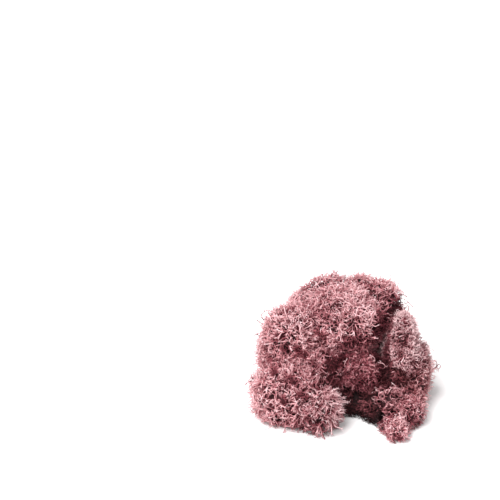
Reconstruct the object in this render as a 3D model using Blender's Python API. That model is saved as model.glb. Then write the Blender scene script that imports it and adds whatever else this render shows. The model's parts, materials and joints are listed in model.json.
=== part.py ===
"""A clump of dyed reindeer moss, resting on a flat surface.

The clump is a handful of moss heads pressed together. Each head is one closed
solid. Its skin is a ball of triangles fitted to the clump's rounded outline, and
the twigs are raised out of those triangles: plain points, forks of three tips,
and twigs of three arms with three tips each. Heads meet along flat walls with a
hair of air between them, and the low ones are pressed flat where they rest.
"""

import random

import bmesh
import bpy
import numpy as np
from mathutils import Vector
from mathutils.bvhtree import BVHTree

MM = 0.001
SEED = 31

# The heads, in millimetres: middle, half sizes out to the twig tips, and dye.
# X runs to the right, Y away from the viewer and Z up.
HEADS = {
    "crown": ((-6, 8, 54), (32, 31, 28), "rose"),
    "crown_rear": ((-20, 36, 45), (32, 25, 35), "rose"),
    "rear_right": ((12, 37, 46), (28, 24, 34), "rose"),
    "left_shoulder": ((-44, -3, 38), (27, 28, 35), "rose"),
    "left_foot": ((-43, -40, 16), (28, 28, 25), "rose"),
    "left_toe": ((-18, -52, 11.5), (19, 20, 20), "rose"),
    "left_knee": ((-20, -22, 22), (19, 20, 23), "rose"),
    "left_wisp": ((-61, -19, 11), (14, 12, 11), "rose"),
    "hollow": ((8, -15, 29), (20, 21, 17), "plum"),
    "right_hollow": ((28, -10, 19), (15, 18, 20), "plum"),
    "right_shoulder": ((37, 3, 37), (15, 26, 32), "rose"),
    "right_flank": ((50, 1, 19), (15, 28, 26), "plum"),
    "right_knee": ((31, -33, 15), (14, 14, 14), "rose"),
    "right_heel": ((46, -24, 10), (14, 15, 16.5), "plum"),
    "right_toe": ((22, -32, 8), (14, 14, 14), "plum"),
    "right_foot": ((44, -38, 8.5), (16, 14, 15), "rose"),
    "tail": ((37, -54, 5), (11, 17, 10), "rose"),
    "recess": ((6, -19, 8), (23, 15, 15), "plum"),
    "heart": ((-6, 16, 14), (30, 30, 23), "plum"),
    "rear_left_foot": ((-38, 28, 13), (28, 28, 22.5), "plum"),
    "rear_right_foot": ((26, 38, 12), (28, 24, 21), "plum"),
}

# How far the twigs stand out of a skin, as a share of the head's least half
# size and at most, in millimetres.
REACH_SHARE = 0.42
REACH_MOST = 8.5

# Rounding where two heads run into each other.
BLEND = 3.0

# Air between two heads, and what a twig keeps clear of a wall or the surface.
HEAD_GAP = 0.3
TWIG_CLEAR = 0.3

# Edge of the skin's triangles, and how uneven the skin is, as a share of its size.
SKIN_EDGE = 5.6
SKIN_JITTER = 0.035
ICOSAHEDRON_EDGE = 1.051

# The skin is found by steps outwards from a head's own ellipsoid, each a share of
# the distance left, and a ball runs on past a wall by this much before it is cut.
SKIN_STEPS = 40
SKIN_STEP_SHARE = 0.6
PAST_WALL = 2.0

# Least area of a triangle that carries a point, a fork and a twig, and how far
# its middle lies inside the walls.
LEAST_AREA = {"point": 4.0, "fork": 9.0, "twig": 12.0}
LEAST_DEPTH = {"point": 1.0, "fork": 2.5, "twig": 3.5}

# Share of the skin's triangles that carry a twig and a fork; the rest have points,
# and so have those that face down more steeply than this.
TWIG_SHARE = 0.06
FORK_SHARE = 0.30
UNDERSIDE = -0.5

# Heights over the skin, as shares of the reach.
POINT_HEIGHT = (0.42, 0.66)
FORK_TRUNK = 0.40
FORK_TIP = 0.62
TWIG_TRUNK = 0.34
TWIG_ARM = 0.40
TWIG_TIP = 0.44

# Half thickness of a fork's or a twig's trunk, and of a twig's arms.
TRUNK_R = 1.0
ARM_R = 0.7

# Sideways part of a branch for each unit along its parent.
FORK_SPLAY = 0.7
ARM_SPLAY = 1.0
TIP_SPLAY = 0.7
SWAY = 0.2

# How far the middle of a fork stands up, and how far a twig's tips turn outwards.
CROTCH_RISE = 0.3
TIP_LIFT = 0.3

# What is raised from a triangle, and its scale. Where it would run into its
# neighbour it gives way to the next of these.
FORMS = [("twig", 1.0), ("fork", 1.0), ("point", 1.0), ("point", 0.6), ("point", 0.3), ("flat", 0.0)]

COLOURS = {
    "rose": (0.46, 0.22, 0.25, 1.0),
    "plum": (0.25, 0.09, 0.11, 1.0),
}


def reach_of(half_sizes):
    return min(REACH_SHARE * min(half_sizes), REACH_MOST)


def skin_sizes(half_sizes):
    return np.array(half_sizes) - reach_of(half_sizes)


MIDDLES = np.array([middle for middle, _, _ in HEADS.values()], dtype=float)
SKINS = np.array([skin_sizes(half_sizes) for _, half_sizes, _ in HEADS.values()])


def half_width(sizes, directions):
    """How far an ellipsoid reaches from its middle in each direction."""
    return 1.0 / np.linalg.norm(directions / sizes, axis=-1)


def outside(points):
    """How far each point lies outside the rounded union of all the skins."""
    arms = points[:, None, :] - MIDDLES[None, :, :]
    lengths = np.linalg.norm(arms, axis=-1) + 1e-9
    over = lengths - half_width(SKINS[None, :, :], arms / lengths[..., None])
    return -BLEND * np.log(np.exp(-over / BLEND).sum(axis=1))


def walls_of(name):
    """The planes that bound a head, as (outward normal, distance from its middle)."""
    middle, half_sizes, _ = HEADS[name]
    walls = [(Vector((0, 0, -1)), float(middle[2]))]
    for other, (other_middle, other_sizes, _) in HEADS.items():
        if other == name:
            continue
        between = Vector(other_middle) - Vector(middle)
        normal = between.normalized()
        own = half_width(skin_sizes(half_sizes), np.array(normal))
        theirs = half_width(skin_sizes(other_sizes), np.array(normal))
        share = own / (own + theirs)
        walls.append((normal, float(share * between.length - HEAD_GAP / 2)))
    return walls


def skin_radii(middle, half_sizes, walls, directions):
    """Distance from a head's middle to the clump's skin, or to just past a wall."""
    normals = np.array([normal for normal, _ in walls])
    distances = np.array([distance for _, distance in walls])
    facing = np.maximum(directions @ normals.T, 1e-6)
    past_wall = (distances / facing).min(axis=1) + PAST_WALL
    radii = np.minimum(half_width(skin_sizes(half_sizes), directions), past_wall)
    for _ in range(SKIN_STEPS):
        short_by = -outside(np.array(middle) + directions * radii[:, None])
        radii = np.minimum(radii + SKIN_STEP_SHARE * short_by, past_wall)
    return radii


def make_skin(name, walls, rng):
    """A ball of even triangles on the clump's skin, cut flat at each wall."""
    middle, half_sizes, _ = HEADS[name]
    bm = bmesh.new()
    bmesh.ops.create_icosphere(bm, subdivisions=1, radius=1.0)
    ball_edge = ICOSAHEDRON_EDGE * np.median(skin_sizes(half_sizes))
    cuts = round(ball_edge / SKIN_EDGE) - 1
    if cuts > 0:
        bmesh.ops.subdivide_edges(bm, edges=bm.edges[:], cuts=cuts, use_grid_fill=True)
    directions = np.array([vert.co.normalized() for vert in bm.verts])
    radii = skin_radii(middle, half_sizes, walls, directions)
    for vert, direction, radius in zip(bm.verts, directions, radii):
        lump = 1.0 + rng.uniform(-SKIN_JITTER, SKIN_JITTER)
        vert.co = Vector(direction) * radius * lump
    for normal, distance in walls:
        cut = bmesh.ops.bisect_plane(
            bm,
            geom=bm.verts[:] + bm.edges[:] + bm.faces[:],
            dist=0.001,
            plane_co=normal * distance,
            plane_no=normal,
            clear_outer=True,
        )
        rim = [item for item in cut["geom_cut"] if isinstance(item, bmesh.types.BMEdge)]
        if rim:
            bmesh.ops.contextual_create(bm, geom=rim)
    bmesh.ops.triangulate(bm, faces=bm.faces[:])
    bmesh.ops.recalc_face_normals(bm, faces=bm.faces[:])
    skin = bpy.data.meshes.new("skin")
    bm.to_mesh(skin)
    bm.free()
    return skin


def depth_inside(point, walls):
    """How far a point is from the nearest wall, inwards."""
    return min(distance - point.dot(normal) for normal, distance in walls)


def bent_clear(point, walls, clear):
    """The point, moved in from any wall that it is too near."""
    for _ in range(4):
        for normal, distance in walls:
            over = point.dot(normal) - (distance - clear)
            if over > 0:
                point = point - normal * over
    return point


def middle_of(ring):
    return sum((vert.co for vert in ring), Vector()) / len(ring)


def swayed(direction, amount, rng):
    sway = Vector(rng.uniform(-amount, amount) for _ in range(3))
    return (direction + sway).normalized()


def raise_point(bm, ring, way, length, walls):
    """Closes a ring with one pointed tip."""
    apex = bm.verts.new(bent_clear(middle_of(ring) + way * length, walls, TWIG_CLEAR))
    for i in range(len(ring)):
        bm.faces.new((ring[i], ring[(i + 1) % len(ring)], apex))


def raise_ring(bm, ring, way, length, radius, walls):
    """Carries a ring outwards to a smaller one; gives the new ring and its way."""
    start = middle_of(ring)
    centre = bent_clear(start + way * length, walls, radius + TWIG_CLEAR)
    way = (centre - start).normalized()
    made = []
    for vert in ring:
        out = vert.co - start
        out -= way * out.dot(way)
        made.append(bm.verts.new(centre + out.normalized() * radius))
    for i in range(len(ring)):
        j = (i + 1) % len(ring)
        bm.faces.new((ring[i], ring[j], made[j]))
        bm.faces.new((ring[i], made[j], made[i]))
    return made, way


def branches_of(bm, ring, way):
    """Splits a ring's end in three: each branch's own ring and its way sideways."""
    middle = middle_of(ring)
    crotch = bm.verts.new(middle + way * CROTCH_RISE)
    for i in range(len(ring)):
        a, b = ring[i], ring[(i + 1) % len(ring)]
        side = (a.co + b.co) / 2 - middle
        yield (a, b, crotch), side.normalized()


def raise_fork(bm, ring, way, reach, walls, rng):
    """A trunk with three tips."""
    top, way = raise_ring(bm, ring, way, reach * FORK_TRUNK, TRUNK_R, walls)
    for branch, side in branches_of(bm, top, way):
        tip_way = swayed(way + side * FORK_SPLAY, SWAY, rng)
        raise_point(bm, branch, tip_way, reach * FORK_TIP * rng.uniform(0.85, 1.15), walls)


def raise_twig(bm, ring, way, reach, walls, rng):
    """A trunk with three arms, and three tips on each."""
    top, way = raise_ring(bm, ring, way, reach * TWIG_TRUNK, TRUNK_R, walls)
    for branch, side in branches_of(bm, top, way):
        arm_way = swayed(way + side * ARM_SPLAY, SWAY, rng)
        length = reach * TWIG_ARM * rng.uniform(0.85, 1.15)
        end, arm_way = raise_ring(bm, branch, arm_way, length, ARM_R, walls)
        for tip_ring, tip_side in branches_of(bm, end, arm_way):
            tip_way = swayed(arm_way + tip_side * TIP_SPLAY + way * TIP_LIFT, SWAY, rng)
            length = reach * TWIG_TIP * rng.uniform(0.8, 1.2)
            raise_point(bm, tip_ring, tip_way, length, walls)


def first_forms(skin, walls, rng):
    """For each triangle of a skin, the number of the form that it starts with."""
    names = [name for name, _ in FORMS]
    forms = []
    for face in skin.polygons:
        drawn = rng.random()
        most = 0 if drawn < TWIG_SHARE else 1 if drawn < TWIG_SHARE + FORK_SHARE else 2
        if face.normal.z < UNDERSIDE:
            most = 2
        depth = depth_inside(face.center, walls)
        fitting = (
            kind
            for kind in ("twig", "fork", "point")[most:]
            if face.area > LEAST_AREA[kind] and depth > LEAST_DEPTH[kind]
        )
        forms.append(names.index(next(fitting, "flat")))
    return forms


def grow(skin, forms, reach, walls, seed):
    """The skin with everything raised, and for each vertex the triangle it grew from."""
    bm = bmesh.new()
    bm.from_mesh(skin)
    grew_from = [None] * len(bm.verts)
    for number, face in enumerate(bm.faces[:]):
        kind, scale = FORMS[forms[number]]
        if kind == "flat":
            continue
        rng = random.Random(seed * 10000 + number)
        ring = list(face.verts)
        way = swayed(face.normal, SWAY / 2, rng)
        bm.faces.remove(face)
        if kind == "twig":
            raise_twig(bm, ring, way, reach, walls, rng)
        elif kind == "fork":
            raise_fork(bm, ring, way, reach, walls, rng)
        else:
            height = reach * rng.uniform(*POINT_HEIGHT) * scale
            raise_point(bm, ring, way, height, walls)
        grew_from += [number] * (len(bm.verts) - len(grew_from))
    return bm, grew_from


def to_lower(bm, grew_from, forms):
    """Of each two raised forms that run into each other, the fuller one's triangle."""
    bm.verts.index_update()
    faces = list(bm.faces)
    tree = BVHTree.FromBMesh(bm)
    lower = set()
    for a, b in tree.overlap(tree):
        if a > b or set(faces[a].verts) & set(faces[b].verts):
            continue
        both = {grew_from[vert.index] for face in (faces[a], faces[b]) for vert in face.verts}
        both.discard(None)
        if both:
            lower.add(min(both, key=lambda number: forms[number]))
    return lower


def dye(name):
    material = bpy.data.materials.get("lichen_" + name)
    if material is None:
        material = bpy.data.materials.new("lichen_" + name)
        material.use_nodes = True
        shader = material.node_tree.nodes["Principled BSDF"]
        shader.inputs["Base Color"].default_value = COLOURS[name]
        shader.inputs["Roughness"].default_value = 0.8
        shader.inputs["Metallic"].default_value = 0.0
    return material


def make_head(name, number, clump):
    """One head of moss: its skin and the twigs raised from it, as one solid."""
    middle, half_sizes, colour = HEADS[name]
    seed = SEED * 100 + number
    rng = random.Random(seed)
    walls = walls_of(name)
    skin = make_skin(name, walls, rng)
    forms = first_forms(skin, walls, rng)
    while True:
        bm, grew_from = grow(skin, forms, reach_of(half_sizes), walls, seed)
        lower = to_lower(bm, grew_from, forms)
        if not lower:
            break
        for triangle in lower:
            forms[triangle] += 1
        bm.free()
    bmesh.ops.scale(bm, vec=(MM, MM, MM), verts=bm.verts[:])
    mesh = bpy.data.meshes.new(name)
    bm.to_mesh(mesh)
    bm.free()
    mesh.materials.append(dye(colour))
    head = bpy.data.objects.new(name, mesh)
    bpy.context.scene.collection.objects.link(head)
    head.location = Vector(middle) * MM
    head.parent = clump
    return head


def main():
    for obj in list(bpy.data.objects):
        bpy.data.objects.remove(obj)
    clump = bpy.data.objects.new("clump", None)
    bpy.context.scene.collection.objects.link(clump)
    heads = [make_head(name, number, clump) for number, name in enumerate(HEADS)]

    # The clump's own origin is at the middle of its underside.
    points = [head.location + vert.co for head in heads for vert in head.data.vertices]
    low = Vector(min(p[axis] for p in points) for axis in range(3))
    high = Vector(max(p[axis] for p in points) for axis in range(3))
    centre = (low + high) / 2
    clump.location = (-centre.x, -centre.y, -low.z)


main()
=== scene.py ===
"""A clump of dyed, preserved reindeer moss on a white floor.

Each head of the model is dressed with its packed inside and with the forked twigs
that grow out of it, as one piece. The tables and the twig forms are in millimetres.
"""

import json
import math
import random

import bmesh
import bpy
import numpy as np
from mathutils import Matrix, Vector, noise

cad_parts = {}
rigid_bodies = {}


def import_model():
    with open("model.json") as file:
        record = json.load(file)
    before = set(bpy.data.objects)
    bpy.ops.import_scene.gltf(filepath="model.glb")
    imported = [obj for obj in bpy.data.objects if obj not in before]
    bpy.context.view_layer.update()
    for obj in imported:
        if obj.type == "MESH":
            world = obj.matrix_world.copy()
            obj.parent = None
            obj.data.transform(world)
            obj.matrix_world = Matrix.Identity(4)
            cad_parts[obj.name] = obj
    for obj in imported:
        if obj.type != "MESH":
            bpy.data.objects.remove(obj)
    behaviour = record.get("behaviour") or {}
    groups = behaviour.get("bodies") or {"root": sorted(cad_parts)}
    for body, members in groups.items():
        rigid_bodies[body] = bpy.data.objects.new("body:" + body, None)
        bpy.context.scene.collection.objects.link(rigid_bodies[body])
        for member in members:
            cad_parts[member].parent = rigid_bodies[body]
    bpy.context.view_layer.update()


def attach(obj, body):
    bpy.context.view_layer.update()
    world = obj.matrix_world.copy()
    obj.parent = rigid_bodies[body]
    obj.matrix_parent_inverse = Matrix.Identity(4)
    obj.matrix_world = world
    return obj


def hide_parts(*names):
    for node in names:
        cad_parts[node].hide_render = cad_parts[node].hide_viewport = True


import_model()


# The packed inside of each head: old, tangled branches, pressed so closely that they
# read as one dark mass behind the twigs, its near black colour painted shade for the deep
# tangle. It is a rounded lump under the clump's outline, and it is cut flat where it
# presses on the next head or on the floor.

MM = 0.001

# Each head's middle and half sizes out to the twig tips, in millimetres, and the way
# from there to the clump's origin.
HEADS = {
    "crown": ((-6, 8, 54), (32, 31, 28)),
    "crown_rear": ((-20, 36, 45), (32, 25, 35)),
    "rear_right": ((12, 37, 46), (28, 24, 34)),
    "left_shoulder": ((-44, -3, 38), (27, 28, 35)),
    "left_foot": ((-43, -40, 16), (28, 28, 25)),
    "left_toe": ((-18, -52, 11.5), (19, 20, 20)),
    "left_knee": ((-20, -22, 22), (19, 20, 23)),
    "left_wisp": ((-61, -19, 11), (14, 12, 11)),
    "hollow": ((8, -15, 29), (20, 21, 17)),
    "right_hollow": ((28, -10, 19), (15, 18, 20)),
    "right_shoulder": ((37, 3, 37), (15, 26, 32)),
    "right_flank": ((50, 1, 19), (15, 28, 26)),
    "right_knee": ((31, -33, 15), (14, 14, 14)),
    "right_heel": ((46, -24, 10), (14, 15, 16.5)),
    "right_toe": ((22, -32, 8), (14, 14, 14)),
    "right_foot": ((44, -38, 8.5), (16, 14, 15)),
    "tail": ((37, -54, 5), (11, 17, 10)),
    "recess": ((6, -19, 8), (23, 15, 15)),
    "heart": ((-6, 16, 14), (30, 30, 23)),
    "rear_left_foot": ((-38, 28, 13), (28, 28, 22.5)),
    "rear_right_foot": ((26, 38, 12), (28, 24, 21)),
}
TO_ORIGIN = np.array((4.13, 5.02, 0.0))
MIDDLES = np.array([middle for middle, _ in HEADS.values()]) + TO_ORIGIN

# How far the solids' twigs stand out of a head's skin, as a share of its least half
# size and at most, and the air between two heads.
REACH_SHARE = 0.42
REACH_MOST = 8.5
HEAD_GAP = 0.3

# Heads that have grown into each other, how softly, and how sharply the heaps meet.
HEAPS = [
    (
        ["crown", "crown_rear", "rear_right", "left_shoulder", "left_foot", "left_toe",
         "left_knee", "left_wisp", "heart", "rear_left_foot", "rear_right_foot"],
        6.5,
    ),
    (["hollow", "right_hollow", "recess"], 3.0),
    (
        ["right_shoulder", "right_flank", "right_knee", "right_heel", "right_toe",
         "right_foot", "tail"],
        4.5,
    ),
]
HEAP_BLEND = 2.0

# Small swellings of the growth between two heads: which heap, and from the clump's
# origin its middle and half sizes.
SWELLINGS = [
    (0, (22, 38, 60), (9, 8, 8)),
    (1, (8, -23, 2), (10, 6, 5)),
    (2, (33, -42, 4), (5, 5, 4)),
]

# Where the growth is sunk: a line's two ends from the clump's origin, how wide and how
# deep. The round keeps it at its full depth to about half its width. The twigs there are
# also painted darker, as shade.
SUNK_ROUND = 1.3
SUNK = [
    # the cleft between the crown and the right shoulder, down to the hollow
    ((29, 14, 67), (27, 6, 66), 5, 9),
    ((31, 22, 57), (27, 8, 56), 6, 10),
    ((35, 26, 64), (41, 43, 59), 7.5, 11),
    ((27, 6, 66), (25, -2, 52), 8, 17),
    ((25, -2, 52), (28, -8, 38), 7.5, 14),
    # under the crown's front edge, where it steps back
    ((1, -15, 50), (21, -7, 49), 8, 5),
    ((0, -15.5, 54), (8, -13, 57), 3.5, 6),
    # between the left knee and the hollow, and down to the recess
    ((-2, -18.5, 40), (-11, -29, 39), 5.5, 12),
    ((-9, -31, 33), (0, -31, 20), 5.5, 9),
    # under the right shoulder
    ((49, -20, 34), (48, -26, 27), 5, 6),
    ((30, -13, 37), (31, -23, 28), 6, 10),
    ((31, -23, 28), (40, -22, 29), 5.5, 9),
    # in front of the right toe, and along the tail's left side
    ((14, -38, 3), (21, -43, 3), 8, 6),
    ((25, -55, 4), (32, -66, 4), 7, 6),
    # holes in the left heads
    ((-36, -10, 65), (-33, -11, 64), 3.6, 9),
    ((-50, -17, 53), (-46, -17, 54), 3.8, 9),
    ((-33.5, -23, 47.5), (-28, -24.5, 44.5), 3.8, 10),
    ((-44, -22, 48), (-42, -22.5, 47), 3.6, 9),
    ((-50, -30, 38), (-49, -38, 36), 3.4, 9),
    ((-36, -45, 36), (-34, -47, 35), 4.0, 9),
    ((-28, -54, 29), (-25, -55, 28), 3.6, 8),
    ((-22, -63, 15), (-16, -64, 13), 3.6, 6),
    ((-40, -57, 26), (-39, -57, 24), 3.4, 8),
    ((-21, -12, 59), (-17, -14, 55), 3.6, 8),
    ((-55, -21, 39), (-54, -22, 37), 3.2, 8),
    ((-22, -30, 44), (-20, -32, 42), 3.4, 8),
]


def reach_of(name):
    return min(REACH_SHARE * min(HEADS[name][1]), REACH_MOST)


SKINS = np.array([np.array(HEADS[name][1]) - reach_of(name) for name in HEADS])


def half_width(sizes, ways):
    """How far an ellipsoid reaches from its middle each way."""
    return 1.0 / np.linalg.norm(ways / sizes, axis=-1)


def outside(points):
    """How far each point lies outside the rounded union of the heads' skins."""
    arms = points[:, None, :] - MIDDLES[None, :, :]
    lengths = np.linalg.norm(arms, axis=-1) + 1e-9
    over = lengths - half_width(SKINS[None, :, :], arms / lengths[..., None])
    heaps = []
    for number, (heap, blend) in enumerate(HEAPS):
        members = [over[:, list(HEADS).index(name)] for name in heap]
        for swollen, middle, sizes in SWELLINGS:
            if swollen == number:
                arm = points - np.array(middle)
                length = np.linalg.norm(arm, axis=1) + 1e-9
                members.append(length - half_width(np.array(sizes), arm / length[:, None]))
        members = np.stack(members, axis=1)
        heaps.append(-blend * np.log(np.exp(-members / blend).sum(axis=1)))
    heaps = np.stack(heaps, axis=1)
    return -HEAP_BLEND * np.log(np.exp(-heaps / HEAP_BLEND).sum(axis=1))


def sunk(points):
    """How far the growth is sunk at each point."""
    depths = np.zeros(len(points))
    for start, end, width, depth in SUNK:
        start, line = np.array(start, float), np.subtract(end, start)
        share = np.clip((points - start) @ line / (line @ line), 0.0, 1.0)
        away = np.linalg.norm(points - start - share[:, None] * line, axis=1) / width
        hollowed = np.clip(SUNK_ROUND - SUNK_ROUND * away**2, 0.0, 1.0)
        depths = np.maximum(depths, depth * hollowed)
    return depths


def outward(points):
    """The way straight out of the clump at each point."""
    step = 0.5
    slope = np.stack(
        [outside(points + step * axis) - outside(points - step * axis) for axis in np.eye(3)],
        axis=-1,
    )
    return slope / np.linalg.norm(slope, axis=1, keepdims=True)


def walls_of(name):
    """The flat walls round a head: outward normals and distances from its middle."""
    number = list(HEADS).index(name)
    middle = MIDDLES[number]
    normals, distances = [np.array((0.0, 0.0, -1.0))], [middle[2]]
    for other, (other_middle, other_skin) in enumerate(zip(MIDDLES, SKINS)):
        if other == number:
            continue
        length = np.linalg.norm(other_middle - middle)
        normal = (other_middle - middle) / length
        own = half_width(SKINS[number], normal)
        theirs = half_width(other_skin, normal)
        normals.append(normal)
        distances.append(own / (own + theirs) * length - HEAD_GAP / 2)
    return np.array(normals), np.array(distances)


# The least depth that is told of a point outside every other head.
FAR_OUT = -9.0


def taken(points, number):
    """How deep each point lies in the space of any other head."""
    level = outside(points) + sunk(points)
    deepest = np.full(len(points), FAR_OUT)
    for other, name in enumerate(HEADS):
        if other != number:
            normals, distances = walls_of(name)
            in_walls = (distances - (points - MIDDLES[other]) @ normals.T).min(axis=1)
            deepest = np.maximum(deepest, np.minimum(in_walls, reach_of(name) - level))
    return deepest


# Heads over this half size have an inside of smaller faces.
FINE_SIZE = 14

# The inside grows out of its head's middle until it fills the outline: its first and
# least radius, the steps, the share of what is missing that each step adds, and how
# far past its walls it may grow before it is cut.
FIRST_RADIUS = 2.0
LEAST_RADIUS = 1.0
GROWTH_STEPS = 80
GROWTH_SHARE = 0.25
WALL_OVERRUN = 6.0

# Uneven growth: how high its lumps are, and how wide.
LUMPS = [(2.6, 14.0), (1.5, 6.0)]

# The twigs thin out over this much of a wall's edge. This share of them is left on
# the floor, and the next where the growth is sunk by this much.
EDGE_FADE = 2.5
UNDER_SHARE = 0.3
SUNK_SHARE = 0.7
SUNK_BARE = 5.0

# A wall with nothing against it, this far out, bears twigs too, which stand out of it.
WALL_CLEAR = 4.0
WALL_SHARE = 0.8

# A tuft is full to half its radius. A higher number makes its edge sharper.
TUFT_EDGE = 2.0


def packed_inside(name, depth, combed, only, trim):
    """A head's inside, with how openly twigs stand at each point and the way they grow."""
    number = list(HEADS).index(name)
    middle = MIDDLES[number]
    normals, distances = walls_of(name)
    bm = bmesh.new()
    subdivisions = 4 if min(HEADS[name][1]) > FINE_SIZE else 3
    bmesh.ops.create_icosphere(bm, subdivisions=subdivisions, radius=1.0)
    ways = np.array([vert.co.normalized() for vert in bm.verts])
    to_wall = (distances / np.maximum(ways @ normals.T, 1e-6)).min(axis=1)
    to_floor = middle[2] / np.maximum(-ways[:, 2], 1e-6)
    radii = np.full(len(ways), FIRST_RADIUS)
    for _ in range(GROWTH_STEPS):
        places = middle + ways * radii[:, None]
        short_by = reach_of(name) - depth - trim - outside(places) - sunk(places)
        radii = np.clip(
            radii + GROWTH_SHARE * short_by, LEAST_RADIUS, to_wall + WALL_OVERRUN
        )
    skin = middle + ways * radii[:, None]
    for height, width in LUMPS:
        radii = radii + [height * noise.noise(Vector(spot) / width) for spot in skin]
    past = radii - to_wall
    openness = np.clip((EDGE_FADE - past) / EDGE_FADE, 0.0, 1.0)
    on_floor = (to_floor <= to_wall + 1e-6) & (past > 0)
    openness[on_floor] = np.maximum(openness[on_floor], UNDER_SHARE)
    openness *= 1 - (1 - SUNK_SHARE) * np.clip(sunk(skin) / SUNK_BARE, 0.0, 1.0)
    places = middle + ways * np.clip(radii, LEAST_RADIUS, to_wall - HEAD_GAP)[:, None]
    beyond = places + WALL_CLEAR * ways
    facing_air = (past > 0) * np.clip(-taken(beyond, number), 0.0, 1.0) * (beyond[:, 2] > 0)
    openness = np.maximum(openness, WALL_SHARE * facing_air)
    if only:
        centre, radius = only
        away = np.linalg.norm(skin - np.array(centre), axis=1) / radius
        openness *= np.clip(TUFT_EDGE - TUFT_EDGE * away, 0.0, 1.0)
    for vert, place in zip(bm.verts, places):
        vert.co = Vector(place) * MM
    mesh = bpy.data.meshes.new(name + "_inside")
    bm.to_mesh(mesh)
    bm.free()
    out = outward(skin) + facing_air[:, None] * ways
    if combed:
        source, amount = combed
        away = skin - np.array(source)
        away -= out * (away * out).sum(axis=1, keepdims=True)
        out = out + amount * away / (np.linalg.norm(away, axis=1, keepdims=True) + 1e-6)
    mesh.attributes.new("open", "FLOAT", "POINT").data.foreach_set("value", openness)
    mesh.attributes.new("out", "FLOAT_VECTOR", "POINT").data.foreach_set("vector", out.ravel())
    return mesh


# The twigs: hollow, thread-thin branches that fork in threes and end in small stars.
# They grow out of the packed inside all over a head, and curl over at its top into
# hooks and rings. They are a few forms with few faces, set out by Geometry Nodes.

# How far up a twig its parts are, from 0 at the root to 1 at the tips: how far a root
# is below its first ring, the trunk's top, where the arms start and how much they
# take up, and where the stars start.
ROOT_BELOW = 0.3
TRUNK_TOP = 0.34
ARM_START = 0.36
ARM_SPAN = 0.44
STAR_START = 0.84

# How much arms and tips differ: the least and most share of what is given for a form,
# and how far they turn by chance, in radians.
ARM_SPLAYS = (0.6, 1.3)
ARM_LENGTHS = (0.7, 1.25)
ARM_CURLS = (0.4, 1.5)
ARM_TURN = 0.2
TIP_SPLAYS = (0.7, 1.5)
TIP_LENGTHS = (0.7, 1.25)
TIP_TURN = 0.25

# A trunk is this much thicker than its arms, and they thin out by this share. A fork
# rises this much between its branches.
TRUNK_WIDTH = 1.15
ARM_THINNING = 0.15
ARM_FORK = 0.25
STAR_FORK = 0.15


class Form:
    """The points and faces of twigs, closed all round."""

    def __init__(self):
        self.points, self.faces, self.along, self.around = [], [], [], []

    def add(self, point, along, around):
        self.points.append(Vector(point))
        self.along.append(along)
        self.around.append(around)
        return len(self.points) - 1

    def middle(self, ring):
        return sum((self.points[i] for i in ring), Vector()) / len(ring)

    def root(self, start, way, radius, along):
        """A pointed root that widens along its way to a ring of three."""
        start, way = Vector(start), Vector(way)
        root = self.add(start, max(along - ROOT_BELOW, 0.0), 0.5)
        across = way.orthogonal().normalized()
        ring = []
        for i in range(3):
            side = Matrix.Rotation(i * math.tau / 3, 3, way) @ across
            ring.append(self.add(start + way + side * radius, along, i / 2))
        for i in range(3):
            self.faces.append((root, ring[(i + 1) % 3], ring[i]))
        return ring

    def carry(self, ring, centre, radius, along):
        """A ring carried on to the next one."""
        start = self.middle(ring)
        way = (centre - start).normalized()
        made = []
        for number, index in enumerate(ring):
            out = self.points[index] - start
            out -= way * out.dot(way)
            made.append(self.add(centre + out.normalized() * radius, along, number / 2))
        for i in range(3):
            j = (i + 1) % 3
            self.faces.append((ring[i], ring[j], made[j], made[i]))
        return made

    def close(self, ring, tip):
        """A ring closed to a point."""
        apex = self.add(tip, 1.0, 0.5)
        for i in range(3):
            self.faces.append((ring[i], ring[(i + 1) % 3], apex))

    def split(self, ring, rise, along):
        """A ring's end in three, each with its way sideways."""
        middle = self.middle(ring)
        way = (self.points[ring[1]] - self.points[ring[0]]).cross(
            self.points[ring[2]] - self.points[ring[0]]
        )
        crotch = self.add(middle + way.normalized() * rise, along, 0.25)
        for i in range(3):
            a, b = ring[i], ring[(i + 1) % 3]
            side = (self.points[a] + self.points[b]) / 2 - middle
            yield (a, b, crotch), side.normalized()

    def star(self, ring, way, tip, rng):
        """An end of three small points."""
        for point, side in self.split(ring, STAR_FORK, STAR_START):
            point_way = turned(way + side * rng.uniform(*TIP_SPLAYS), TIP_TURN, rng)
            reach = point_way * tip * rng.uniform(*TIP_LENGTHS)
            self.close(point, self.middle(point) + reach)

    def mesh(self, name):
        mesh = bpy.data.meshes.new(name)
        mesh.from_pydata([point * MM for point in self.points], [], self.faces)
        for label, values in (("along", self.along), ("around", self.around)):
            mesh.attributes.new(label, "FLOAT", "POINT").data.foreach_set("value", values)
        return mesh


def any_way(rng):
    return Vector([rng.gauss(0, 1) for _ in range(3)]).normalized()


def turned(way, amount, rng):
    return (Matrix.Rotation(amount, 3, any_way(rng)) @ way).normalized()


def grow_twig(rng, trunk, arm, steps, splay, curl, tip, radius):
    """A trunk up Z with three curling arms, each with a star at its end."""
    form = Form()
    ring = form.root((0, 0, 0), (0, 0, trunk), radius * TRUNK_WIDTH, TRUNK_TOP)
    for branch, side in form.split(ring, ARM_FORK, ARM_START):
        sideways = side * splay * rng.uniform(*ARM_SPLAYS)
        way = turned(Vector((0, 0, 1)) + sideways, ARM_TURN, rng)
        length = arm * rng.uniform(*ARM_LENGTHS)
        axis = way.cross(any_way(rng)).normalized()
        bend = Matrix.Rotation(curl * rng.uniform(*ARM_CURLS), 3, axis)
        for step in range(steps):
            centre = form.middle(branch) + way * length / steps
            share = (step + 1) / steps
            thickness = radius * (1 - ARM_THINNING * share)
            branch = form.carry(branch, centre, thickness, ARM_START + ARM_SPAN * share)
            way = (bend @ way).normalized()
        form.star(branch, way, tip, rng)
    return form


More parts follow.
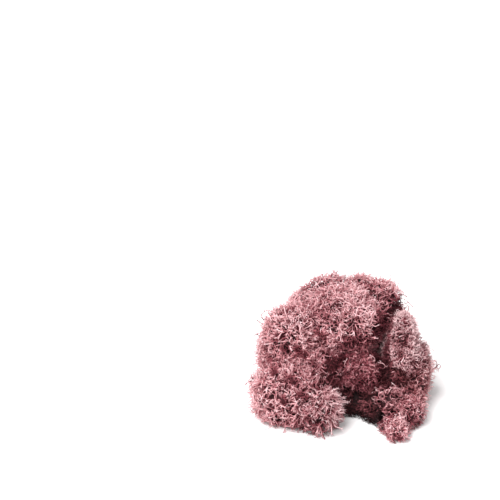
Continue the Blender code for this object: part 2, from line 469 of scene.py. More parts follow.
def forms_of(name, count, seed, **sizes):
    """A collection of twig forms to pick from."""
    rng = random.Random(seed)
    forms = bpy.data.collections.new(name)
    for number in range(count):
        label = f"{name}_{number:02d}"
        forms.objects.link(bpy.data.objects.new(label, grow_twig(rng, **sizes).mesh(label)))
    return forms


def add_node(tree, kind, feeds=None, **settings):
    """Adds a node; each feed is a value, or the output that it is linked from."""
    node = tree.nodes.new(kind)
    for label, value in settings.items():
        setattr(node, label, value)
    for socket, value in (feeds or {}).items():
        if isinstance(value, bpy.types.NodeSocket):
            tree.links.new(value, node.inputs[socket])
        else:
            node.inputs[socket].default_value = value
    return node


# The seeds of what is drawn for each twig, and the highest number drawn for its form.
SPIN_SEED, SIZE_SEED, STRAY_SEED, FORM_SEED, TINT_SEED = 3, 5, 6, 7, 11
MOST_FORM = 999

# The noise's values at the thinnest and the thickest growth, and the twigs' size
# between the two with the share that it varies by. A higher power makes strays rarer.
PATCH_EDGES = (0.35, 0.65)
PATCH_SIZE = 0.95
PATCH_SIZE_SHARE = 0.1
STRAY_POWER = 8.0

# How much of a twig's tint is its own, how much is its patch's, with that patch's
# noise, and how much the tint varies around a twig.
OWN_TINT = 0.5
BROAD_TINT = 0.45
BROAD_PER_METRE = 60.0
BROAD_EDGES = (0.3, 0.7)
AROUND_TINT = 0.04


def twig_tree():
    """Geometry Nodes that set twigs all over a head's inside, in metres."""
    tree = bpy.data.node_groups.new("moss_twigs", "GeometryNodeTree")
    sockets = [
        ("Inside", "NodeSocketGeometry", None),
        ("Inside shows", "NodeSocketBool", True),
        ("Twig forms", "NodeSocketCollection", None),
        ("Twigs per square metre", "NodeSocketFloat", 200000.0),
        ("Thinning", "NodeSocketFloat", 0.45),
        ("Patch width", "NodeSocketFloat", 0.008),
        ("Least size", "NodeSocketFloat", 0.72),
        ("Most size", "NodeSocketFloat", 1.08),
        ("Stray", "NodeSocketFloat", 0.5),
        ("Lean", "NodeSocketFloat", 0.6),
        ("Curl", "NodeSocketFloat", 0.006),
        ("Curl width", "NodeSocketFloat", 0.007),
        ("Seed", "NodeSocketInt", 0),
        ("Finish", "NodeSocketMaterial", None),
    ]
    for label, kind, value in sockets:
        socket = tree.interface.new_socket(name=label, in_out="INPUT", socket_type=kind)
        if value is not None:
            socket.default_value = value
    tree.interface.new_socket(name="Head", in_out="OUTPUT", socket_type="NodeSocketGeometry")
    given = add_node(tree, "NodeGroupInput").outputs
    openness, along, around, tint, out = (
        add_node(
            tree, "GeometryNodeInputNamedAttribute", {"Name": label}, data_type=kind
        ).outputs[0]
        for label, kind in (
            ("open", "FLOAT"),
            ("along", "FLOAT"),
            ("around", "FLOAT"),
            ("tint", "FLOAT"),
            ("out", "FLOAT_VECTOR"),
        )
    )
    place = add_node(tree, "GeometryNodeInputPosition").outputs[0]

    # Patches of thicker and thinner growth, from -1 to 1.
    per_metre = add_node(
        tree, "ShaderNodeMath", {0: 1.0, 1: given["Patch width"]}, operation="DIVIDE"
    ).outputs[0]
    patches = add_node(
        tree, "ShaderNodeTexNoise", {"Vector": place, "Scale": per_metre, "Detail": 1.0}
    ).outputs["Fac"]
    patches = add_node(
        tree,
        "ShaderNodeMapRange",
        {
            "Value": patches,
            "From Min": PATCH_EDGES[0],
            "From Max": PATCH_EDGES[1],
            "To Min": -1.0,
            "To Max": 1.0,
        },
    ).outputs["Result"]
    thick = add_node(
        tree,
        "ShaderNodeMath",
        {0: patches, 1: given["Thinning"], 2: 1.0},
        operation="MULTIPLY_ADD",
    ).outputs[0]
    thick = add_node(
        tree, "ShaderNodeMath", {0: thick, 1: openness}, operation="MULTIPLY"
    ).outputs[0]
    density = add_node(
        tree,
        "ShaderNodeMath",
        {0: given["Twigs per square metre"], 1: thick},
        operation="MULTIPLY",
    ).outputs[0]
    points = add_node(
        tree,
        "GeometryNodeDistributePointsOnFaces",
        {"Mesh": given["Inside"], "Density": density, "Seed": given["Seed"]},
        distribute_method="RANDOM",
    ).outputs["Points"]

    # Each twig stands out of the inside, leaning a little its own way.
    sideways = add_node(
        tree,
        "FunctionNodeRandomValue",
        {0: (-1.0, -1.0, -1.0), 1: (1.0, 1.0, 1.0), "Seed": given["Seed"]},
        data_type="FLOAT_VECTOR",
    ).outputs[0]
    leaning = add_node(
        tree, "ShaderNodeVectorMath", {0: sideways, "Scale": given["Lean"]}, operation="SCALE"
    ).outputs[0]
    way = add_node(
        tree, "ShaderNodeVectorMath", {0: out, 1: leaning}, operation="ADD"
    ).outputs[0]
    upright = add_node(
        tree, "FunctionNodeAlignRotationToVector", {"Vector": way}, axis="Z"
    ).outputs[0]
    spin = add_node(
        tree,
        "FunctionNodeRandomValue",
        {2: 0.0, 3: math.tau, "Seed": SPIN_SEED},
        data_type="FLOAT",
    ).outputs[1]
    spun = add_node(
        tree, "FunctionNodeAxisAngleToRotation", {"Axis": (0.0, 0.0, 1.0), "Angle": spin}
    ).outputs[0]
    rotation = add_node(
        tree,
        "FunctionNodeRotateRotation",
        {"Rotation": upright, "Rotate By": spun},
        rotation_space="LOCAL",
    ).outputs[0]

    # Sizes between the least and the most, with a few strays that stand out.
    size = add_node(
        tree,
        "FunctionNodeRandomValue",
        {2: given["Least size"], 3: given["Most size"], "Seed": SIZE_SEED},
        data_type="FLOAT",
    ).outputs[1]
    rare = add_node(
        tree,
        "FunctionNodeRandomValue",
        {2: 0.0, 3: 1.0, "Seed": STRAY_SEED},
        data_type="FLOAT",
    ).outputs[1]
    rare = add_node(
        tree, "ShaderNodeMath", {0: rare, 1: STRAY_POWER}, operation="POWER"
    ).outputs[0]
    size = add_node(
        tree, "ShaderNodeMath", {0: rare, 1: given["Stray"], 2: size}, operation="MULTIPLY_ADD"
    ).outputs[0]
    lumps = add_node(
        tree,
        "ShaderNodeMath",
        {0: patches, 1: PATCH_SIZE_SHARE, 2: PATCH_SIZE},
        operation="MULTIPLY_ADD",
    ).outputs[0]
    size = add_node(
        tree, "ShaderNodeMath", {0: size, 1: lumps}, operation="MULTIPLY"
    ).outputs[0]
    forms = add_node(
        tree,
        "GeometryNodeCollectionInfo",
        {
            "Collection": given["Twig forms"],
            "Separate Children": True,
            "Reset Children": True,
        },
    ).outputs[0]
    pick = add_node(
        tree,
        "FunctionNodeRandomValue",
        {4: 0, 5: MOST_FORM, "Seed": FORM_SEED},
        data_type="INT",
    ).outputs[2]
    twigs = add_node(
        tree,
        "GeometryNodeInstanceOnPoints",
        {
            "Points": points,
            "Instance": forms,
            "Pick Instance": True,
            "Instance Index": pick,
            "Rotation": rotation,
            "Scale": size,
        },
    ).outputs[0]

    # A tint for each twig, partly its own and partly its patch's.
    own = add_node(
        tree,
        "FunctionNodeRandomValue",
        {2: 0.0, 3: OWN_TINT, "Seed": TINT_SEED},
        data_type="FLOAT",
    ).outputs[1]
    broad = add_node(
        tree, "ShaderNodeTexNoise", {"Vector": place, "Scale": BROAD_PER_METRE, "Detail": 1.0}
    ).outputs["Fac"]
    broad = add_node(
        tree,
        "ShaderNodeMapRange",
        {
            "Value": broad,
            "From Min": BROAD_EDGES[0],
            "From Max": BROAD_EDGES[1],
            "To Min": 0.0,
            "To Max": BROAD_TINT,
        },
    ).outputs["Result"]
    both = add_node(tree, "ShaderNodeMath", {0: own, 1: broad}, operation="ADD").outputs[0]
    twigs = add_node(
        tree,
        "GeometryNodeStoreNamedAttribute",
        {"Geometry": twigs, "Name": "tint", "Value": both},
        data_type="FLOAT",
        domain="INSTANCE",
    ).outputs[0]
    twigs = add_node(tree, "GeometryNodeRealizeInstances", {"Geometry": twigs}).outputs[0]

    # The curl grows towards the tips.
    per_metre = add_node(
        tree, "ShaderNodeMath", {0: 1.0, 1: given["Curl width"]}, operation="DIVIDE"
    ).outputs[0]
    swirl = add_node(
        tree, "ShaderNodeTexNoise", {"Vector": place, "Scale": per_metre, "Detail": 1.0}
    ).outputs["Color"]
    swirl = add_node(
        tree, "ShaderNodeVectorMath", {0: swirl, 1: (0.5, 0.5, 0.5)}, operation="SUBTRACT"
    ).outputs[0]
    amount = add_node(
        tree, "ShaderNodeMath", {0: along, 1: given["Curl"]}, operation="MULTIPLY"
    ).outputs[0]
    offset = add_node(
        tree, "ShaderNodeVectorMath", {0: swirl, "Scale": amount}, operation="SCALE"
    ).outputs[0]
    twigs = add_node(
        tree, "GeometryNodeSetPosition", {"Geometry": twigs, "Offset": offset}
    ).outputs[0]
    inside = add_node(
        tree,
        "GeometryNodeSwitch",
        {"Switch": given["Inside shows"], "True": given["Inside"]},
        input_type="GEOMETRY",
    ).outputs[0]
    joined = tree.nodes.new("GeometryNodeJoinGeometry")
    tree.links.new(inside, joined.inputs[0])
    tree.links.new(twigs, joined.inputs[0])

    # The finish's own map: along the twig one way, tint the other.
    across = add_node(
        tree,
        "ShaderNodeMath",
        {0: around, 1: AROUND_TINT, 2: tint},
        operation="MULTIPLY_ADD",
    ).outputs[0]
    spot = add_node(tree, "ShaderNodeCombineXYZ", {"X": along, "Y": across}).outputs[0]
    mapped = add_node(
        tree,
        "GeometryNodeStoreNamedAttribute",
        {"Geometry": joined.outputs[0], "Name": "OFBake", "Value": spot},
        data_type="FLOAT2",
        domain="CORNER",
    ).outputs[0]
    finished = add_node(
        tree, "GeometryNodeSetMaterial", {"Geometry": mapped, "Material": given["Finish"]}
    ).outputs[0]
    add_node(tree, "NodeGroupOutput", {"Head": finished})
    return tree


TWIG_TREE = twig_tree()


def linear(code):
    """An sRGB hex colour as linear values."""
    parts = [int(code[i : i + 2], 16) / 255 for i in (1, 3, 5)]
    return [p / 12.92 if p <= 0.04045 else ((p + 0.055) / 1.055) ** 2.4 for p in parts] + [1.0]


# Reindeer lichen, dyed in a bath and softened with glycerine: satin and slightly
# rough. The dye is thin on the pale tips and gathers in the old wood below, and the near
# black at the roots is also painted shade for the deep tangle, so a twig goes from near
# white pink at its tips to dark plum at its root.

# Its skin is finely felted, which makes the colour and the shine uneven: 24 spots
# along a twig of about 11 mm are 0.5 mm each. Real ones are finer and wouldn't show.
GRAIN_SCALE = 24.0
GRAIN_EDGES = (0.3, 0.7)
WORN_SHARES = (0.85, 1.12)
ROUGHNESSES = (0.55, 0.8)


def dyed_lichen(name, shares, even, warm):
    """The finish: how far up a twig its colours are, on even and on warm twigs."""
    material = bpy.data.materials.new(name)
    material.use_nodes = True
    tree = material.node_tree
    shader = tree.nodes["Principled BSDF"]
    spot = add_node(tree, "ShaderNodeUVMap", uv_map="OFBake").outputs["UV"]
    parts = add_node(tree, "ShaderNodeSeparateXYZ", {"Vector": spot}).outputs
    ramps = []
    for colours in (even, warm):
        ramp = add_node(tree, "ShaderNodeValToRGB", {"Fac": parts["X"]})
        stops = ramp.color_ramp.elements
        while len(stops) < len(shares):
            stops.new(0.5)
        for stop, share, code in zip(stops, shares, colours.split()):
            stop.position = share
            stop.color = linear(code)
        ramps.append(ramp.outputs["Color"])
    feeds = {"Factor": parts["Y"], 6: ramps[0], 7: ramps[1]}
    colour = add_node(tree, "ShaderNodeMix", feeds, data_type="RGBA").outputs[2]
    grain = add_node(
        tree, "ShaderNodeTexNoise", {"Vector": spot, "Scale": GRAIN_SCALE, "Detail": 3.0}
    ).outputs["Fac"]
    worn, rough = (
        add_node(
            tree,
            "ShaderNodeMapRange",
            {
                "Value": grain,
                "From Min": GRAIN_EDGES[0],
                "From Max": GRAIN_EDGES[1],
                "To Min": least,
                "To Max": most,
            },
        ).outputs["Result"]
        for least, most in (WORN_SHARES, ROUGHNESSES)
    )
    colour = add_node(
        tree, "ShaderNodeVectorMath", {0: colour, "Scale": worn}, operation="SCALE"
    ).outputs[0]
    tree.links.new(colour, shader.inputs["Base Color"])
    tree.links.new(rough, shader.inputs["Roughness"])
    bump = add_node(
        tree, "ShaderNodeBump", {"Height": grain, "Strength": 0.3, "Distance": 0.0002}
    ).outputs["Normal"]
    tree.links.new(bump, shader.inputs["Normal"])
    shader.inputs["IOR"].default_value = 1.45
    shader.inputs["Specular IOR Level"].default_value = 0.25
    return material


# A twig that runs into the next head or the floor bends along it, with this much give.
WALL_GIVE = 2.5
FLOOR_GIVE = 2.0

# The colour follows a twig's own length by this share, and its height over the packed
# inside by the rest: the darkening deeper in the tangle is painted shade. Near the floor,
# and where the growth is sunk, the twigs are painted darker still, as shade.
OWN_SHARE = 0.4
FLOOR_SHADE_HEIGHT = 14.0
FLOOR_SHADE_SHARE = 0.62
SUNK_SHADE_DEPTH = 9.0
SUNK_SHADE_SHARE = 0.32

# The inside's own values, each between its least and most, and the seeds of a head's
# places and of its tuft's. The inside's low values put it at the dark root end of the
# finish, as painted shade.
INSIDE_VALUES = [("along", 0.0, 0.12), ("around", 0.0, 1.0), ("tint", 0.2, 0.8)]
FIRST_SEED, HEAD_SEEDS, TUFT_SEED = 100, 7, 3


def dress_head(
    name, forms, finish, slot, per_mm2, depth, combed=None, only=None, trim=0.0, **inputs
):
    """Makes one head's piece in place of its solid, or only a tuft of it."""
    number = list(HEADS).index(name)
    inside = packed_inside(name, depth, combed, only, trim)
    rng = np.random.default_rng(number)
    for label, low, high in INSIDE_VALUES:
        values = rng.uniform(low, high, len(inside.vertices))
        inside.attributes.new(label, "FLOAT", "POINT").data.foreach_set("value", values)
    piece = bpy.data.objects.new(name + ("_tuft" if only else "_moss"), inside)
    bpy.context.scene.collection.objects.link(piece)
    modifier = piece.modifiers.new("twigs", "NODES")
    modifier.node_group = TWIG_TREE
    inputs |= {
        "Inside shows": not only,
        "Twig forms": forms,
        "Finish": finish,
        "Seed": FIRST_SEED + HEAD_SEEDS * number + (TUFT_SEED if only else 0),
        "Twigs per square metre": per_mm2 * 1e6,
    }
    for socket in TWIG_TREE.interface.items_tree:
        if socket.in_out == "INPUT" and socket.name in inputs:
            modifier[socket.identifier] = inputs[socket.name]
    made = bpy.data.meshes.new_from_object(
        piece.evaluated_get(bpy.context.evaluated_depsgraph_get())
    )
    piece.modifiers.clear()

    # What runs into another head is pressed back, and the floor bends it flat.
    places = np.empty(len(made.vertices) * 3, dtype=np.float32)
    made.vertices.foreach_get("co", places)
    places = places.reshape(-1, 3) / MM
    pressed = np.clip(taken(places, number), 0.0, 1.0)
    for normal, distance in zip(*walls_of(name)):
        if normal[2] > -1.0:
            over = np.maximum((places - MIDDLES[number]) @ normal - distance, 0.0)
            past = WALL_GIVE * (1 - np.exp(-over / WALL_GIVE))
            places = places - normal * (pressed * (over - past))[:, None]
    low = places[:, 2] < FLOOR_GIVE
    places[low, 2] = FLOOR_GIVE * np.exp((places[low, 2] - FLOOR_GIVE) / FLOOR_GIVE)
    made.vertices.foreach_set("co", (places * MM).astype(np.float32).ravel())

    # The colour along each twig, with painted shade deep in the tangle, near the floor and
    # where the growth is sunk.
    above = outside(places) - reach_of(name) + depth + trim
    height = np.clip(above / depth, 0.0, 1.0)
    deep = np.clip(np.maximum(sunk(places), -above) / SUNK_SHADE_DEPTH, 0.0, 1.0)
    corners = np.empty(len(made.loops), dtype=np.int32)
    made.loops.foreach_get("vertex_index", corners)
    spots = np.empty(len(made.loops) * 2, dtype=np.float32)
    made.uv_layers["OFBake"].data.foreach_get("uv", spots)
    off_floor = np.clip(places[:, 2] / FLOOR_SHADE_HEIGHT, 0.0, 1.0)
    floor_shade = FLOOR_SHADE_SHARE + (1 - FLOOR_SHADE_SHARE) * off_floor
    along = spots[::2]
    lit = OWN_SHARE * along + (1 - OWN_SHARE) * height[corners]
    sunken = SUNK_SHADE_SHARE * along**2
    spots[::2] = (lit + (sunken - lit) * deep[corners]) * floor_shade[corners]
    made.uv_layers["OFBake"].data.foreach_set("uv", spots)

    piece.data = made
    made.shade_smooth()
    bpy.data.meshes.remove(inside)
    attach(piece, "root")
    if not only:
        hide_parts(name)


# The crown: the big head on top and the two behind it, torn from the mat's upper
# side. Old growth in full light, so the twigs stand close, are long and pale, and
# curl over each other into a felt.

ROSE = dyed_lichen(
    "dyed_lichen_rose",
    (0.0, 0.18, 0.38, 0.6, 0.86),
    "#24070c #511c26 #975059 #cb8c92 #ebbcc0",
    "#2c090e #64262f #ae636a #dca1a5 #f7d2d5",
)
BUSH_TWIGS = forms_of(
    "bush_twig", count=12, seed=4,
    trunk=3.0, arm=6.4, steps=4, splay=1.5, curl=0.6, tip=1.6, radius=0.27,
)
dress_head("crown", BUSH_TWIGS, ROSE, "rose", per_mm2=0.21, depth=9.0)
dress_head("crown_rear", BUSH_TWIGS, ROSE, "rose", per_mm2=0.18, depth=9.0)
dress_head("rear_right", BUSH_TWIGS, ROSE, "rose", per_mm2=0.18, depth=9.0)


# The left heads: the shoulder beside the crown and the foot below it, which run into
# each other, and a small tuft that has come loose at the far left. Their twigs are
# like the crown's, with more gaps.

dress_head("left_shoulder", BUSH_TWIGS, ROSE, "rose", per_mm2=0.2, depth=9.0)
dress_head("left_foot", BUSH_TWIGS, ROSE, "rose", per_mm2=0.2, depth=9.0)
dress_head("left_wisp", BUSH_TWIGS, ROSE, "rose", per_mm2=0.16, depth=7.0)


# The left toe: a low head with a tuft of younger, straighter sprigs on its inner side.
# They lean out over the recess like combed hair, and took less of the dye. The twigs
# among them have a darker copy of the crown's finish, painted shade for the toe's low side.

SPRIG = dyed_lichen(
    "dyed_lichen_pale_rose",
    (0.0, 0.18, 0.38, 0.6, 0.86),
    "#20060a #46171e #85454c #bb8287 #dbb1b4",
    "#280a0f #57232b #9b595f #cc9a9e #eacccd",
)
SPRIGS = forms_of(
    "sprig", count=10, seed=6,
    trunk=3.0, arm=6.5, steps=3, splay=0.7, curl=0.16, tip=2.2, radius=0.27,
)
# A darker copy of the rose finish, as painted shade.
SHADED_ROSE = dyed_lichen(
    "dyed_lichen_shaded_rose",
    (0.0, 0.2, 0.42, 0.64, 0.88),
    "#20060a #46161d #833f48 #b4747b #d9a6aa",
    "#280a0e #581f27 #9a535b #c78b90 #e8bfc2",
)
dress_head("left_toe", BUSH_TWIGS, SHADED_ROSE, "rose", per_mm2=0.15, depth=8.5, trim=1.0)
dress_head(
    "left_toe", SPRIGS, SPRIG, "rose", per_mm2=0.16, depth=7.5, trim=1.0, Lean=0.4,
    combed=((-17, -41, 34), 1.6), only=((-10, -50, 27), 19),
)


# The recess under the crown: the knee at its left, the redder head in its middle and
# the dark heads at its right and on its floor. Little light reaches them, and their
# finishes are darker copies of the rose one, painted shade that goes from rose to near black.

SHADED_PLUM = dyed_lichen(
    "dyed_lichen_shaded_plum",
    (0.0, 0.2, 0.42, 0.64, 0.88),
    "#1c0508 #351015 #64292f #935256 #c69093",
    "#220709 #43161b #7a3b41 #aa686c #d9a7a9",
)
SHADED_WINE = dyed_lichen(
    "dyed_lichen_shaded_wine",
    (0.0, 0.2, 0.42, 0.64, 0.88),
    "#1e0508 #380e15 #63232c #8f4952 #bf7f84",
    "#26070b #47131b #79343d #a6626a #d39ca0",
)
DEEP_SHADE = dyed_lichen(
    "dyed_lichen_deep_shade",
    (0.0, 0.38, 0.62, 0.88),
    "#140305 #2f0d11 #54262b #84494e",
    "#1a0507 #3a1216 #643136 #98595e",
)
SMALL_TWIGS = forms_of(
    "small_twig", count=12, seed=5,
    trunk=1.8, arm=4.4, steps=3, splay=1.4, curl=0.75, tip=1.4, radius=0.25,
)
dress_head("left_knee", BUSH_TWIGS, SHADED_ROSE, "rose", per_mm2=0.17, depth=8.5)
dress_head("hollow", SMALL_TWIGS, SHADED_WINE, "plum", per_mm2=0.34, depth=6.5)
dress_head("right_hollow", SMALL_TWIGS, SHADED_PLUM, "plum", per_mm2=0.3, depth=6.5)
dress_head("recess", SMALL_TWIGS, DEEP_SHADE, "plum", per_mm2=0.24, depth=6.5)


# The right heads: the narrow shoulder past the cleft, and the darker flank and heel
# that carry it. The flank and heel have a darker copy of the rose finish, painted shade
# for their side away from the key lamp. The flank has paler, dusty twigs among its dark ones.

SHADED_DUSK = dyed_lichen(
    "dyed_lichen_shaded_dusk",
    (0.0, 0.2, 0.42, 0.64, 0.88),
    "#20060a #401319 #773339 #ad6b70 #d69fa2",
    "#260a0d #522026 #94545a #c58b8e #eac4c5",
)
dress_head(
    "right_shoulder", SMALL_TWIGS, SPRIG, "rose", per_mm2=0.42, depth=6.0, Thinning=0.35
)
dress_head("right_flank", SMALL_TWIGS, SHADED_DUSK, "plum", per_mm2=0.32, depth=6.5, trim=2.5)
dress_head("right_heel", SMALL_TWIGS, SHADED_DUSK, "plum", per_mm2=0.3, depth=6.0, trim=2.5)


# The right knee: an open tuft, whose pale, dusty twigs curl right round into rings
# over a dark inside. More of them stand in the dark gap beside the hollow. The toe
# below it stands deep in the shade, and its darkest finish is painted shade.

RING_TWIGS = forms_of(
    "ring_twig", count=10, seed=8,
    trunk=3.2, arm=7.0, steps=5, splay=1.3, curl=1.05, tip=1.2, radius=0.3,
)
dress_head("right_knee", RING_TWIGS, SPRIG, "rose", per_mm2=0.15, depth=8.5)
dress_head(
    "right_hollow", RING_TWIGS, SPRIG, "rose", per_mm2=0.14, depth=6.5, Stray=0.0,
    only=((29, -18, 33), 12),
)
dress_head("right_toe", SMALL_TWIGS, DEEP_SHADE, "plum", per_mm2=0.28, depth=6.0)


# The right foot: a fine, fuzzy head on the floor, with the tail, a thin tongue of
# twigs that runs out of it to the front, all combed one way.

FINE_TWIGS = forms_of(
    "fine_twig", count=12, seed=9,
    trunk=1.8, arm=3.8, steps=3, splay=1.3, curl=0.7, tip=1.3, radius=0.23,
)
dress_head("right_foot", FINE_TWIGS, ROSE, "rose", per_mm2=0.36, depth=5.5, trim=1.5)
dress_head(
    "tail", FINE_TWIGS, ROSE, "rose", per_mm2=0.34, depth=4.5, trim=1.5,
    combed=((26, -32, 8), 1.4),
)


# The heads under the crown and at the back: they carry the rest, and their darker
# finishes are painted shade.

dress_head("heart", BUSH_TWIGS, SHADED_PLUM, "plum", per_mm2=0.05, depth=9.0)
dress_head("rear_left_foot", BUSH_TWIGS, SHADED_DUSK, "plum", per_mm2=0.14, depth=9.0)
dress_head("rear_right_foot", BUSH_TWIGS, SHADED_DUSK, "plum", per_mm2=0.14, depth=9.0)


# Loose strands: single branches that have sprung out of the heads, some in loops.
# They stand clear of the rest, and show against the floor. Each is swept along its
# own points, and its root is sunk in its head.

def eased(path, steps):
    """A smooth run of points through the path's own."""
    ends = [path[0] * 2 - path[1], *path, path[-1] * 2 - path[-2]]
    run = []
    for a, b, c, d in zip(ends, ends[1:], ends[2:], ends[3:]):
        for step in range(steps):
            t = step / steps
            run.append(
                (b * 2 + (c - a) * t + (a * 2 - b * 5 + c * 4 - d) * t**2
                 + (b * 3 - a - c * 3 + d) * t**3) / 2
            )
    return run + [path[-1]]


# How many steps a strand is eased in between two of its points, how long its tips
# are, the share that it thins out by and how much paler it gets on the way.
STRAND_STEPS = 3
STRAND_TIP = 1.6
STRAND_THINNING = 0.25
STRAND_FADE = 0.3

# Which steps bear a spur, how long it is, and its thickness as a share.
SPUR_EVERY, FIRST_SPUR = 4, 2
SPUR_LENGTH = 1.1
SPUR_WIDTH = 0.7


def lay_strand(form, rng, places, radius, shade):
    """A strand along its places, with a spur or two and a star at its end."""
    run = eased([Vector(place) for place in places], STRAND_STEPS)
    ring = form.root(run[0], run[1] - run[0], radius, shade)
    for number, centre in enumerate(run[2:]):
        share = number / len(run)
        along = shade + STRAND_FADE * share
        ring = form.carry(ring, centre, radius * (1 - STRAND_THINNING * share), along)
        if number % SPUR_EVERY == FIRST_SPUR:
            spur = any_way(rng) * SPUR_LENGTH
            twig = form.root(centre, spur, radius * SPUR_WIDTH, along)
            form.star(twig, spur.normalized(), STRAND_TIP, rng)
    form.star(ring, (run[-1] - run[-2]).normalized(), STRAND_TIP, rng)


# Strands that stand in the heads' shade, painted dark for it against the floor.
DARK_STRANDS = [
    # over the floor at the upper right
    [(26, 43, 58), (33, 40, 64), (37.4, 39, 65), (42.5, 38.4, 64), (48.4, 37, 59.4)],
    [(28, 42, 56), (34.6, 38, 60), (40.6, 37, 61), (45, 37, 63.4)],
    [(28, 42, 56), (36, 37, 59), (39.6, 36, 56.4), (43, 36, 58), (40, 36.5, 60)],
    [(33, 42, 56), (39.6, 37, 57.4), (43.4, 36.4, 55.6), (44.8, 36.4, 53)],
    [(32, 40, 50), (37.5, 36.5, 55), (41.4, 36, 54.6), (42.6, 36, 51.6)],
    [(30, 42, 62), (36, 40, 66.6), (40.5, 39.4, 68), (43, 39, 67)],
    [(43, 15, 62), (44, 15.4, 66), (44.2, 16, 68.6), (43.6, 17, 70.6)],
    [(45, 12, 51), (48.4, 12.4, 54.6), (49.6, 13.2, 56.3)],
    # loops at the right
    [(58, 6, 24), (63.6, 8.9, 28.6), (65.9, 9.5, 30.6), (68.3, 8.9, 29.5), (68.4, 8, 26.6),
     (65.7, 6.9, 25), (62.5, 7, 26.5)],
    [(60, 6, 22), (67.6, 7.6, 25), (70, 8.7, 28), (71.4, 8, 26.9), (69.9, 6.9, 24.7)],
    # a ring and tips at the upper left
    [(-53, 6, 53), (-56.6, 5.9, 54.6), (-61, 6.1, 54.7), (-63.2, 7, 57), (-61.1, 8.4, 60.2),
     (-57.4, 8.6, 61), (-55.2, 7.4, 58.2), (-56, 6.4, 55)],
    [(-58, 4, 49), (-64, 5.4, 52.6), (-66.1, 5.6, 54.4)],
    [(-59, 2, 41), (-65, 2.3, 43.8), (-67.2, 2.2, 43.2)],
    # loops over the floor at the far left
    [(-55, -16, 9), (-59.5, -16.8, 9.4), (-64, -18.6, 7.2), (-63, -20.4, 5.4),
     (-59, -19.4, 6.4)],
    [(-58, -14, 12), (-64.5, -14, 13.4), (-68.6, -14, 12.6), (-70.8, -14.8, 10.4)],
    [(-54, -37, 12), (-57.5, -38.2, 12.4), (-60.4, -38.7, 11.2)],
    [(-52, -43, 6), (-56.6, -43.8, 5.6), (-59.8, -44.4, 4.9)],
]

# Strands that stand in the light, painted pale for it over the dark gaps.
PALE_STRANDS = [
    # over the recess, from the left toe
    [(-15, -46, 28.5), (-9, -47, 29.4), (-3, -47, 27.6), (2.4, -46, 24.4)],
    [(-12, -49, 26), (-6, -49.5, 25.8), (-1, -48.4, 23.6), (3.2, -46, 21)],
    [(-8, -50, 22), (-3.6, -50, 21), (0.4, -49, 18.6)],
    # in front of the hollow
    [(1.5, -17, 33), (0.6, -21, 36.4), (0.8, -21.4, 39.4), (2, -20.4, 42)],
    [(3, -18, 33), (3.4, -22, 36), (4.8, -22, 38.6)],
    [(20, -17, 39), (22, -19.4, 42.6), (21, -20, 45.4), (18.6, -19, 46)],
    [(27, -15, 33), (30, -17.4, 36.6), (28.4, -18, 39.6), (25.4, -17, 39.4)],
]

# Each set's radius, and how pale its roots are, which is painted shade for the dark set
# and painted light for the pale one; then the strands' tint all over, and how much it
# varies around them.
STRAND_SETS = [(DARK_STRANDS, 0.38, 0.22), (PALE_STRANDS, 0.3, 0.56)]
STRAND_TINT, STRAND_AROUND_TINT = 0.3, 0.3

strand_rng = random.Random(12)
strand_form = Form()
for runs, strand_radius, strand_shade in STRAND_SETS:
    for strand_places in runs:
        lay_strand(strand_form, strand_rng, strand_places, strand_radius, strand_shade)
strand_mesh = strand_form.mesh("loose_strands")
strand_spots = strand_mesh.uv_layers.new(name="OFBake").data
for loop in strand_mesh.loops:
    strand_spots[loop.index].uv = (
        strand_form.along[loop.vertex_index],
        STRAND_TINT + STRAND_AROUND_TINT * strand_form.around[loop.vertex_index],
    )
strand_mesh.materials.append(SPRIG)
strand_mesh.shade_smooth()
loose_strands = bpy.data.objects.new("loose_strands", strand_mesh)
bpy.context.scene.collection.objects.link(loose_strands)
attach(loose_strands, "root")

# The forms have been copied into the heads, and aren't pieces themselves.
for collection in (BUSH_TWIGS, SPRIGS, SMALL_TWIGS, RING_TWIGS, FINE_TWIGS):
    for thing in list(collection.objects):
        bpy.data.meshes.remove(thing.data)
    bpy.data.collections.remove(collection)


# The floor: a plain white sheet, lit by a wide soft lamp from the upper left and a
# weaker one from the right, with the camera at the photograph's angle.

# Half the sheet's width in metres, and how strong the sky is as light and as seen.
FLOOR_HALF = 4.0
SKY_LIGHT, SKY_SEEN = 0.22, 1.0

# Each lamp's name, strength, width in degrees and the way to it.
LAMPS = [("key", 5.8, 45, (-0.55, -0.42, 1.0)), ("fill", 1.4, 90, (0.6, -0.6, 0.8))]

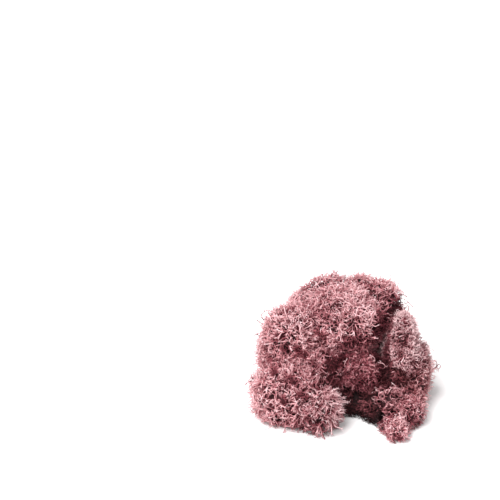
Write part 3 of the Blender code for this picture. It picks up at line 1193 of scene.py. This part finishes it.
# The photograph's camera: its lens on a 36 mm frame, its place before the move to the
# clump's origin, and its own axes.
LENS = 94.0966
CAMERA_PLACE = Vector((-5.009, -852.298, 504.414))
RIGHT = Vector((0.99393957, 0.10275485, 0.03905852))
DOWN = Vector((0.07831615, -0.41257327, -0.90755158))
FORWARD = Vector((-0.07714083, 0.90511034, -0.41812027))

scene = bpy.context.scene
floor_mesh = bpy.data.meshes.new("floor")
sides = ((-1, -1), (1, -1), (1, 1), (-1, 1))
sheet = [(x * FLOOR_HALF, y * FLOOR_HALF, 0.0) for x, y in sides]
floor_mesh.from_pydata(sheet, [], [(0, 1, 2, 3)])
floor = bpy.data.objects.new("floor", floor_mesh)
scene.collection.objects.link(floor)
white = bpy.data.materials.new("white_card")
white.use_nodes = True
card = white.node_tree.nodes["Principled BSDF"]
card.inputs["Base Color"].default_value = linear("#f7f5f5")
card.inputs["Roughness"].default_value = 0.9
floor_mesh.materials.append(white)

world = bpy.data.worlds.new("studio")
world.use_nodes = True
sky = world.node_tree.nodes["Background"]
sky.inputs["Color"].default_value = (1.0, 1.0, 1.0, 1.0)
seen = add_node(world.node_tree, "ShaderNodeLightPath").outputs["Is Camera Ray"]
strength = add_node(
    world.node_tree,
    "ShaderNodeMapRange",
    {"Value": seen, "To Min": SKY_LIGHT, "To Max": SKY_SEEN},
)
world.node_tree.links.new(strength.outputs["Result"], sky.inputs["Strength"])
scene.world = world
scene.view_settings.view_transform = "Standard"

for lamp_name, energy, width, way in LAMPS:
    light = bpy.data.lights.new(lamp_name, "SUN")
    light.energy = energy
    light.angle = math.radians(width)
    lamp = bpy.data.objects.new(lamp_name, light)
    lamp.rotation_mode = "QUATERNION"
    lamp.rotation_quaternion = Vector(way).to_track_quat("Z", "Y")
    scene.collection.objects.link(lamp)

lens = bpy.data.cameras.new("camera")
lens.lens = LENS
lens.sensor_width = 36.0
lens.clip_start, lens.clip_end = 0.01, 50.0
camera = bpy.data.objects.new("camera", lens)
camera_place = (CAMERA_PLACE + Vector(TO_ORIGIN)) * MM
camera.matrix_world = Matrix(
    [(RIGHT[i], -DOWN[i], -FORWARD[i], camera_place[i]) for i in range(3)]
    + [(0.0, 0.0, 0.0, 1.0)]
)
scene.collection.objects.link(camera)
scene.camera = camera
